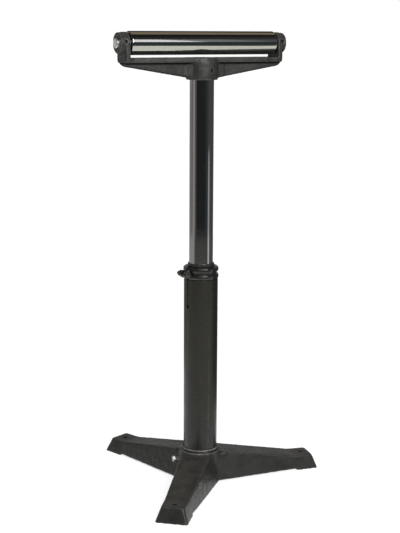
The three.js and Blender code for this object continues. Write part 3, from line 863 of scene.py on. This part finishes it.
class RollerStandFinishes(PropertyGroup):
    """Colours of the stand's finishes"""

    base_colour: colour_property("Base", "Paint on the base casting", (0.025, 0.0245, 0.0225))
    # A lighter copy of the base's paint, as painted light for the stronger light on the head.
    yoke_colour: colour_property("Yoke", "Paint on the yoke casting", (0.036, 0.0355, 0.0333))
    tube_colour: colour_property("Tube", "Paint on the outer tube", (0.0118, 0.0112, 0.0088))
    chrome_colour: colour_property("Chrome", "Post and roller", (0.56, 0.56, 0.55))
    zinc_colour: colour_property("Zinc", "Lock bolt", (0.5, 0.5, 0.48))
    steel_colour: colour_property("Steel", "Axle and spacers", (0.9, 0.91, 0.89))
    black_colour: colour_property("Black", "Collar and its fasteners", (0.012, 0.012, 0.0115))
    nylon_colour: colour_property("Nylon", "Bush, guide and end caps", (0.016, 0.016, 0.016))
    # Also lays painted highlights along edges, besides rubbed paint.
    worn_and_highlight_colour: colour_property("Worn", "Where paint is rubbed thin", (0.16, 0.155, 0.145))
    # Also lightens faces that look up as painted top light, besides dust and specks.
    dust_and_top_light_colour: colour_property("Dust", "Settled dust", (0.19, 0.175, 0.15))


class RollerStandStudio(PropertyGroup):
    """Light and camera"""

    front_power: power_property("Front Light", "Power of the soft light in front", 35.0)
    head_power: power_property("Head Light", "Power of the soft light near the yoke", 7.0)
    fill_strength: FloatProperty(
        name="Fill", description="Strength of the even light from all round", default=0.42, min=0.0
    )
    lens: FloatProperty(
        name="Lens", description="Focal length of the camera, in millimetres", default=79.106, min=1.0
    )


SETTINGS = {
    "roller_stand_sizes": RollerStandSizes,
    "roller_stand_finishes": RollerStandFinishes,
    "roller_stand_studio": RollerStandStudio,
}


# Pieces


class STAND_OT_base(Operator):
    """Builds the three-legged base casting with rounded, sand-cast edges and a turned rim"""

    bl_idname = "roller_stand.base"
    bl_label = "Base Casting"

    def execute(self, context):
        sizes = context.scene.roller_stand_sizes
        made = cast_copy("base_casting", sizes.base_grid, rounds=4)
        around = (45 * MM, 110 * MM, 8 * MM, 66 * MM)
        by_hub = beside_hub(*around, "base_lock_bolt", LOCK_BOLT_AZIMUTH, 8 * MM)

        def in_socket(point):
            return off_axis(point) < 34 * MM and abs(point.z - SOCKET_FLOOR) < 2 * MM

        def under_feet(point):
            return point.z < FOOT_LEVEL

        fill_corners(made, by_hub, reach=6, rounds=18)
        lumpy(made, size=12 * MM, height=1.0 * MM)
        levelled(made, in_socket, SOCKET_FLOOR)
        levelled(made, under_feet, FOOT_LEVEL)
        lip = turned([(radius * MM, SOCKET_TOP - drop * MM) for radius, drop in RIM], sizes.round_sides)
        combined(made, as_object(lip), "UNION")
        finished(made, "cast_base", "Base Paint", "base", "base_casting", SMOOTH_SHADING)
        return {"FINISHED"}


class STAND_OT_outer_tube(Operator):
    """Builds the outer tube with its turned spigot, saw cut and stop hole"""

    bl_idname = "roller_stand.outer_tube"
    bl_label = "Outer Tube"

    def execute(self, context):
        sizes = context.scene.roller_stand_sizes
        bottom, top = span("outer_tube", Z)
        bore, spigot, radius = 28.75 * MM, 32.65 * MM, sizes.tube_radius
        shoulder = span("clamp_collar", Z)[0] - 0.3 * MM
        slot_bottom = shoulder - 62 * MM
        profile = [
            (bore, bottom), (radius, bottom), (radius, shoulder),
            (spigot, shoulder), (spigot, top), (bore, top),
        ]
        made = lathed(profile, sizes.round_sides, sizes.edge_round, 3)
        half, reach = sizes.slot_width / 2, radius + 2 * MM
        cut = block((bore / 2, -half, slot_bottom), (reach, half, top + MM))
        combined(made, as_object(cut, facing(SLOT_AZIMUTH, 0)), "DIFFERENCE")
        hole = rod(sizes.slot_width, bore / 2, reach, SMALL_SIDES)
        combined(made, as_object(hole, facing(SLOT_AZIMUTH, slot_bottom) @ ALONG_X), "DIFFERENCE")
        finished(made, "column_tube", "Tube Paint", "base", "outer_tube")
        return {"FINISHED"}


class STAND_OT_guide_bush(Operator):
    """Builds the split flanged bush that the post slides in"""

    bl_idname = "roller_stand.guide_bush"
    bl_label = "Guide Bush"

    def execute(self, context):
        sizes = context.scene.roller_stand_sizes
        bottom, top = span("guide_bush", Z)
        flange = top - 5.8 * MM
        bore, wall, rim = 26.8 * MM, 28.6 * MM, 29.5 * MM
        profile = [(bore, bottom), (wall, bottom), (wall, flange), (rim, flange), (rim, top), (bore, top)]
        made = lathed(profile, sizes.round_sides, 0.5 * MM, 4)
        slit = block((bore / 2, -MM, bottom - MM), (rim + MM, MM, top + MM))
        combined(made, as_object(slit, facing(SLOT_AZIMUTH, 0)), "DIFFERENCE")
        finished(made, "split_bush", "Moulded Nylon", "base", "guide_bush")
        return {"FINISHED"}


class STAND_OT_clamp_collar(Operator):
    """Builds the split collar with its two ribs, groove and ears"""

    bl_idname = "roller_stand.clamp_collar"
    bl_label = "Clamp Collar"

    def execute(self, context):
        sizes = context.scene.roller_stand_sizes
        half, cut = radius_of("clamp_collar", Z), sizes.slot_width / 2
        bore, groove, rib, edge = 32.8 * MM, 35.3 * MM, 39.2 * MM, 2.3 * MM
        ear, face, ear_round = 8.5 * MM, 7.6 * MM, 0.9 * MM
        profile = [
            (bore, -half), (rib, -half), (rib, -edge), (groove, -edge),
            (groove, edge), (rib, edge), (rib, half), (bore, half),
        ]
        bm = turned(profile, sizes.round_sides)
        soften(bm, sizes.rib_round, 7, outside=rib - 0.1 * MM)
        made = as_object(soften(bm, 0.4 * MM, 2))
        place = Matrix.Translation((CLAMP_BOLT_REACH, 0, 0)) @ ALONG_Y
        ears = as_object(soften(rod(ear, -face, face, 64), ear_round, 4), place)
        low = ear - 0.3 * MM
        neck = block((bore + 1.2 * MM, -face, -low), (CLAMP_BOLT_REACH, face, low))
        combined(ears, as_object(soften(neck, ear_round, 4)), "UNION")
        combined(made, ears, "UNION")
        slot = block((bore / 2, -cut, -half - MM), (CLAMP_BOLT_REACH + 2 * ear, cut, half + MM))
        combined(made, as_object(slot), "DIFFERENCE")
        hole = rod(sizes.bolt_radius + BOLT_CLEARANCE, -2 * face, 2 * face, SMALL_SIDES)
        combined(made, as_object(hole, place), "DIFFERENCE")
        made.data.transform(facing(SLOT_AZIMUTH, middle_of("clamp_collar", Z)))
        finished(made, "split_collar", "Black Gloss", "base", "clamp_collar")
        return {"FINISHED"}


class STAND_OT_fasteners(Operator):
    """Builds the lock bolt, the clamp's bolt, nut and washers, and the set screws"""

    bl_idname = "roller_stand.fasteners"
    bl_label = "Bolts and Screws"

    def execute(self, context):
        sizes = context.scene.roller_stand_sizes
        on_clamp = facing(SLOT_AZIMUTH, middle_of("clamp_collar", Z))
        on_clamp = on_clamp @ Matrix.Translation((CLAMP_BOLT_REACH, 0, 0)) @ ALONG_Y
        on_base = facing(LOCK_BOLT_AZIMUTH, middle_of("base_lock_bolt", Z)) @ ALONG_X
        on_hub = facing(HUB_SCREW_AZIMUTH, middle_of("hub_set_screw", Z)) @ ALONG_X
        bolt = hex_bolt(sizes, -22.3 * MM, 9.8 * MM)
        nut = hex_nut(sizes, -16.3 * MM, -9.8 * MM)
        by_head = washer(sizes, 7.9 * MM, 9.5 * MM)
        by_nut = washer(sizes, -9.5 * MM, -7.9 * MM)
        lock = hex_bolt(sizes, 38.3 * MM, 60.48 * MM)
        hub_screw = set_screw(sizes, 26.8 * MM)
        pieces = [
            (bolt, on_clamp, "clamp_screw", "Black Gloss", "clamp_bolt", "clamp_bolt"),
            (nut, on_clamp, "clamp_hex_nut", "Black Gloss", "base", "clamp_nut"),
            (by_head, on_clamp, "clamp_washer_by_head", "Black Gloss", "base", "clamp_washer_head"),
            (by_nut, on_clamp, "clamp_washer_by_nut", "Black Gloss", "base", "clamp_washer_nut"),
            (lock, on_base, "lock_bolt", "Zinc Plate", "base", "base_lock_bolt"),
            (hub_screw, on_hub, "hub_screw", "Black Gloss", "post", "hub_set_screw"),
        ]
        forward = Matrix.Rotation(math.radians(90) - AXLE_SCREW_TILT, 4, "X")
        for side in ("left", "right"):
            node = "axle_set_screw_" + side
            place = Matrix.Translation((middle_of(node, X), 0, AXLE_HEIGHT)) @ forward
            screw = set_screw(sizes, 11.3 * MM)
            pieces.append((screw, place, "axle_screw_" + side, "Black Gloss", "post", node))
        for made, place, name, finish, body, node in pieces:
            made.data.transform(place)
            finished(made, name, finish, body, node)
        return {"FINISHED"}


class STAND_OT_post(Operator):
    """Builds the chromed post with its clip grooves"""

    bl_idname = "roller_stand.post"
    bl_label = "Post"

    def execute(self, context):
        sizes = context.scene.roller_stand_sizes
        bottom, top = span("post_tube", Z)
        radius = sizes.post_radius
        bore, groove = radius - 3.5 * MM, radius - MM
        profile = [(bore, bottom), (radius, bottom)]
        for node in ("guide_clip_lower", "guide_clip_upper"):
            low, high = span(node, Z)
            low, high = low - CLIP_CLEARANCE, high + CLIP_CLEARANCE
            profile += [(radius, low), (groove, low), (groove, high), (radius, high)]
        profile += [(radius, top), (bore, top)]
        made = lathed(profile, sizes.round_sides, 0.3 * MM, 2)
        finished(made, "chromed_post", "Post Chrome", "post", "post_tube")
        return {"FINISHED"}


class STAND_OT_yoke(Operator):
    """Builds the yoke casting with rounded, sand-cast edges"""

    bl_idname = "roller_stand.yoke"
    bl_label = "Yoke Casting"

    def execute(self, context):
        sizes = context.scene.roller_stand_sizes
        made = cast_copy("yoke_casting", sizes.yoke_grid, rounds=3)
        around = (28 * MM, 44 * MM, middle_of("hub_set_screw", Z) - 8 * MM, AXLE_HEIGHT)
        by_hub = beside_hub(*around, "hub_set_screw", HUB_SCREW_AZIMUTH, 7 * MM)
        fill_corners(made, by_hub, reach=4, rounds=10)
        lean_flange(made)
        lumpy(made, size=10 * MM, height=0.75 * MM)
        finished(made, "cast_yoke", "Yoke Paint", "post", "yoke_casting", SMOOTH_SHADING)
        return {"FINISHED"}


class STAND_OT_axle(Operator):
    """Builds the fixed axle with centre-drilled ends, and its two spacers"""

    bl_idname = "roller_stand.axle"
    bl_label = "Axle and Spacers"

    def execute(self, context):
        low, high = span("axle", X)
        radius = radius_of("axle", Z)
        chamfer, cone, depth = 1.2 * MM, 1.3 * MM, 1.6 * MM
        near = [(0, low + depth), (cone, low), (radius - chamfer, low), (radius, low + chamfer)]
        shaft = lathed(mirrored(near, low, high), AXLE_SIDES, 0.2 * MM, 2, ON_AXLE)
        finished(shaft, "axle_shaft", "Ground Steel", "post", "axle")
        for side in ("left", "right"):
            node = "axle_spacer_" + side
            profile = ring(11.15 * MM, radius_of(node, Z), *span(node, X))
            spacer = lathed(profile, 72, 0.3 * MM, 2, ON_AXLE)
            finished(spacer, "spacer_" + side, "Ground Steel", "post", node)
        return {"FINISHED"}


class STAND_OT_roller(Operator):
    """Builds the chromed roller with its bearing seats and clip grooves"""

    bl_idname = "roller_stand.roller"
    bl_label = "Roller"

    def execute(self, context):
        sizes = context.scene.roller_stand_sizes
        low, high = span("roller_tube", X)
        radius = sizes.roller_radius
        seat = radius - 2.85 * MM
        bore, groove = seat - 1.3 * MM, seat + 0.7 * MM
        seat_start = span("bearing_inner_ring_right", X)[0] - 0.3 * MM
        clip_low, clip_high = span("bearing_clip_right", X)
        clip_low, clip_high = clip_low - CLIP_CLEARANCE, clip_high + CLIP_CLEARANCE
        right = [
            (bore, seat_start), (seat, seat_start), (seat, clip_low), (groove, clip_low),
            (groove, clip_high), (seat, clip_high), (seat, high), (radius, high),
        ]
        shell = turned(mirrored(right, low, high), sizes.round_sides)
        soften(shell, 2.4 * MM, 6, outside=radius - 0.1 * MM)
        finished(as_object(shell, ON_AXLE), "roller_shell", "Roller Chrome", "roller", "roller_tube")
        return {"FINISHED"}


class STAND_OT_end_caps(Operator):
    """Builds the dust caps in the roller's ends"""

    bl_idname = "roller_stand.end_caps"
    bl_label = "End Caps"

    def execute(self, context):
        for side, sign in (("left", -1), ("right", 1)):
            node = "roller_end_cap_" + side
            low, high = span(node, X)
            inner, outer = (low, high) if sign > 0 else (high, low)
            dish = outer - sign * 0.7 * MM
            bore, rim = 14.15 * MM, radius_of(node, Z)
            profile = [
                (bore, inner), (rim, inner), (rim, outer), (rim - 1.6 * MM, outer), (rim - 2.2 * MM, dish),
                (bore + 2.0 * MM, dish), (bore + 1.4 * MM, outer), (bore, outer),
            ]
            cap = lathed(profile, AXLE_SIDES, 0.2 * MM, 2, ON_AXLE)
            finished(cap, "dust_cap_" + side, "Moulded Nylon", "roller", node)
        return {"FINISHED"}


INNER_FINISHES = {
    "bearing_inner_ring": "Ground Steel",
    "bearing_outer_ring": "Ground Steel",
    "ball_cage": "Ground Steel",
    "bearing_clip": "Black Gloss",
    "guide_clip": "Black Gloss",
    "lower_guide_ring": "Moulded Nylon",
}


class STAND_OT_inner_pieces(Operator):
    """Gives the bearings, clips and lower guide, which stay as the CAD made them, their finishes"""

    bl_idname = "roller_stand.inner_pieces"
    bl_label = "Inner Pieces"

    def execute(self, context):
        for name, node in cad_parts.items():
            for start, finish in INNER_FINISHES.items():
                if name.startswith(start):
                    node.data.materials.clear()
                    node.data.materials.append(finish_named(finish))
        return {"FINISHED"}


# Studio

FLOOR_RADIUS = 40.0
FLOOR_COLOUR = (0.55, 0.55, 0.55)

# Cards about the post's axis that only reflections see: name, line as (distance, height) points, first and
# last angle in degrees, tint and strength. Walls, bands and ceilings stand round the part, and cloths lie on
# the floor.
WALL, CLOTH = 3.2, 0.004
STRIP_TOP, WALL_TOP, SOFTBOX_TOP, CEILING = 0.42, 1.5, 2.85, 4.4
GREY, COOL, WARM = (1.0, 1.0, 1.0), (0.8, 1.14, 1.24), (1.0, 0.82, 0.56)
LINEN, STRAW = (1.0, 0.99, 0.88), (1.0, 0.96, 0.82)
SIDE_WALL = ((WALL, 0.0), (WALL, WALL_TOP))
LIGHT_BAND = ((WALL, WALL_TOP), (WALL, SOFTBOX_TOP))
ROOF = ((0.0, CEILING), (WALL, CEILING))
CARDS = (
    ("card_back", SIDE_WALL, 62, 90, GREY, 0.4),
    ("card_back_left", SIDE_WALL, 90, 138, GREY, 0.24),
    ("card_axle", ((WALL - 0.05, 0.78), (WALL - 0.05, 1.12)), 109, 126, GREY, 0.95),
    ("card_left_line", SIDE_WALL, 138, 151, GREY, 0.16),
    ("card_left", SIDE_WALL, 151, 175, GREY, 0.35),
    ("card_left_edge", SIDE_WALL, 175, 192, GREY, 0.12),
    ("card_front", SIDE_WALL, 192, 282, GREY, 0.022),
    ("card_front_right", SIDE_WALL, 282, 308, COOL, 0.044),
    ("card_strip", ((WALL, 0.0), (WALL, STRIP_TOP)), 308, 326, GREY, 0.41),
    ("card_strip_top", ((WALL, STRIP_TOP), (WALL, WALL_TOP)), 308, 326, GREY, 0.08),
    ("card_right", SIDE_WALL, 326, 398, GREY, 0.08),
    ("card_far_right", SIDE_WALL, 398, 422, GREY, 0.45),
    ("cloth_back", ((0.9, CLOTH), (WALL, CLOTH)), 62, 130, GREY, 0.36),
    ("cloth_left", ((0.9, CLOTH), (1.8, CLOTH)), 130, 175, STRAW, 0.8),
    ("cloth_far_left", ((1.8, CLOTH), (WALL, CLOTH)), 130, 175, GREY, 0.36),
    ("cloth_near", ((0.45, CLOTH), (2.1, CLOTH)), 175, 326, LINEN, 0.89),
    ("cloth_front", ((2.1, CLOTH), (WALL, CLOTH)), 175, 308, GREY, 0.08),
    ("cloth_strip", ((2.1, CLOTH), (WALL, CLOTH)), 308, 326, GREY, 0.62),
    ("cloth_right", ((0.5, CLOTH), (WALL, CLOTH)), 326, 422, GREY, 0.1),
    ("softbox", LIGHT_BAND, 268, 298, GREY, 1.15),
    ("softbox_edge", LIGHT_BAND, 298, 304, GREY, 0.24),
    ("band_right", LIGHT_BAND, 304, 422, GREY, 0.1),
    ("band_left", LIGHT_BAND, 62, 268, GREY, 0.07),
    ("upper_wall", ((WALL, SOFTBOX_TOP), (WALL, CEILING)), 0, 360, GREY, 0.042),
    ("ceiling_front", ROOF, 180, 360, GREY, 0.02),
    ("ceiling_back", ROOF, 0, 180, WARM, 0.275),
)
CARD_STEP = 4

# Each lamp: name, power setting, width and height, place, and the height on the post's axis that it aims at
LAMPS = (
    ("Front Light", "front_power", (1.2, 1.2), (0.1, -2.4, 1.85), 0.6),
    ("Head Light", "head_power", (0.9, 0.8), (-0.6, -1.25, 1.5), 0.95),
)

CAMERA_PLACE = (-1.20342, -2.25879, 1.01388)
CAMERA_HEADING = math.radians(-28.0)
CAMERA_TILT = math.radians(78.5)
CAMERA_ROLL = math.radians(0.2908)


def bare_material(name):
    """A material with no nodes in it yet."""
    made = bpy.data.materials.new(name)
    made.use_nodes = True
    made.node_tree.nodes.clear()
    return made, made.node_tree


def mirror_card(name, points, start, end, colour, strength):
    """A curved card about the post's axis, seen only in reflections. Angles in degrees."""
    bm, line = wire(points)
    bmesh.ops.rotate(bm, verts=bm.verts, cent=(0, 0, 0), matrix=Matrix.Rotation(math.radians(start), 3, "Z"))
    spun(bm, line, math.radians(end - start), max(2, math.ceil((end - start) / CARD_STEP)))
    card = as_object(bm)
    card.name = name
    made, tree = bare_material(name)
    glow = add_node(tree, "ShaderNodeEmission", {"Color": rgba(colour), "Strength": strength})
    add_node(tree, "ShaderNodeOutputMaterial", {"Surface": glow.outputs[0]})
    card.data.materials.append(made)
    for ray in ("camera", "diffuse", "transmission", "shadow"):
        setattr(card, "visible_" + ray, False)


def sees_background(tree):
    """1 for camera, mirror and clear rays."""
    path = tree.nodes.new("ShaderNodeLightPath").outputs
    seen = calc("MAXIMUM", path["Is Camera Ray"], path["Is Glossy Ray"])
    return calc("MAXIMUM", seen, path["Is Transmission Ray"])


class STAND_OT_stage(Operator):
    """Sets up the pale floor, soft light, mirror cards and camera"""

    bl_idname = "roller_stand.stage"
    bl_label = "Studio"

    def execute(self, context):
        scene = context.scene
        studio = scene.roller_stand_studio
        scene.view_settings.view_transform = "Standard"
        self.light_world(scene, studio)
        self.lay_floor()
        for card in CARDS:
            mirror_card(*card)
        self.place_lights(scene, studio)
        self.place_camera(scene, studio)
        return {"FINISHED"}

    def light_world(self, scene, studio):
        world = bpy.data.worlds.new("Studio")
        world.use_nodes = True
        tree = world.node_tree
        strength = ranged(sees_background(tree), studio.fill_strength, 1.0)
        set_inputs(tree.nodes["Background"], {"Color": rgba(GREY), "Strength": strength})
        scene.world = world

    def lay_floor(self):
        bm = bmesh.new()
        bmesh.ops.create_circle(bm, cap_ends=True, segments=96, radius=FLOOR_RADIUS)
        floor = as_object(bm)
        floor.name = "floor"
        made, tree = bare_material("Pale Floor")
        matt = add_node(tree, "ShaderNodeBsdfDiffuse", {"Color": rgba(FLOOR_COLOUR)})
        coords = tree.nodes.new("ShaderNodeTexCoord").outputs["Object"]
        reach = derived("ShaderNodeVectorMath", {0: coords}, operation="LENGTH").outputs["Value"]
        level = stretched(reach, 0.3, 3.0, 0.74, 0.8)
        lift = add_node(tree, "ShaderNodeEmission", {"Strength": times(sees_background(tree), level)})
        both = add_node(tree, "ShaderNodeAddShader", {0: matt.outputs[0], 1: lift.outputs[0]})
        add_node(tree, "ShaderNodeOutputMaterial", {"Surface": both.outputs[0]})
        floor.data.materials.append(made)

    def place_lights(self, scene, studio):
        for name, power, size, place, aim in LAMPS:
            lamp = bpy.data.lights.new(name, "AREA")
            lamp.shape = "RECTANGLE"
            lamp.size, lamp.size_y = size
            lamp.energy = getattr(studio, power)
            made = bpy.data.objects.new(name, lamp)
            made.location = place
            made.rotation_euler = (Vector((0, 0, aim)) - made.location).to_track_quat("-Z", "Y").to_euler()
            scene.collection.objects.link(made)

    def place_camera(self, scene, studio):
        data = bpy.data.cameras.new("Camera")
        data.lens = studio.lens
        data.sensor_width = 36.0
        data.clip_start, data.clip_end = 0.05, 200.0
        camera = bpy.data.objects.new("Camera", data)
        camera.location = CAMERA_PLACE
        turn = Matrix.Rotation(CAMERA_HEADING, 3, "Z") @ Matrix.Rotation(CAMERA_TILT, 3, "X")
        camera.rotation_euler = (turn @ Matrix.Rotation(CAMERA_ROLL, 3, "Z")).to_euler()
        scene.collection.objects.link(camera)
        scene.camera = camera


OPERATORS = (
    STAND_OT_base,
    STAND_OT_outer_tube,
    STAND_OT_guide_bush,
    STAND_OT_clamp_collar,
    STAND_OT_fasteners,
    STAND_OT_post,
    STAND_OT_yoke,
    STAND_OT_axle,
    STAND_OT_roller,
    STAND_OT_end_caps,
    STAND_OT_inner_pieces,
    STAND_OT_stage,
)


class STAND_PT_panel(Panel):
    """Lists the stand's pieces, sizes and colours"""

    bl_idname = "STAND_PT_panel"
    bl_label = "Roller Stand"
    bl_space_type = "VIEW_3D"
    bl_region_type = "UI"
    bl_category = "Roller Stand"

    def draw(self, context):
        for group in SETTINGS:
            settings, box = getattr(context.scene, group), self.layout.box()
            for name in settings.__annotations__:
                box.prop(settings, name)
        for operator in OPERATORS:
            self.layout.operator(operator.bl_idname)


CLASSES = (*SETTINGS.values(), *OPERATORS, STAND_PT_panel)


def register():
    for made in CLASSES:
        bpy.utils.register_class(made)
    for name, group in SETTINGS.items():
        setattr(Scene, name, PointerProperty(type=group))


def unregister():
    for name in SETTINGS:
        delattr(Scene, name)
    for made in reversed(CLASSES):
        bpy.utils.unregister_class(made)


def main():
    register()
    for operator in OPERATORS:
        group, name = operator.bl_idname.split(".")
        getattr(getattr(bpy.ops, group), name)()


if __name__ == "__main__":
    main()
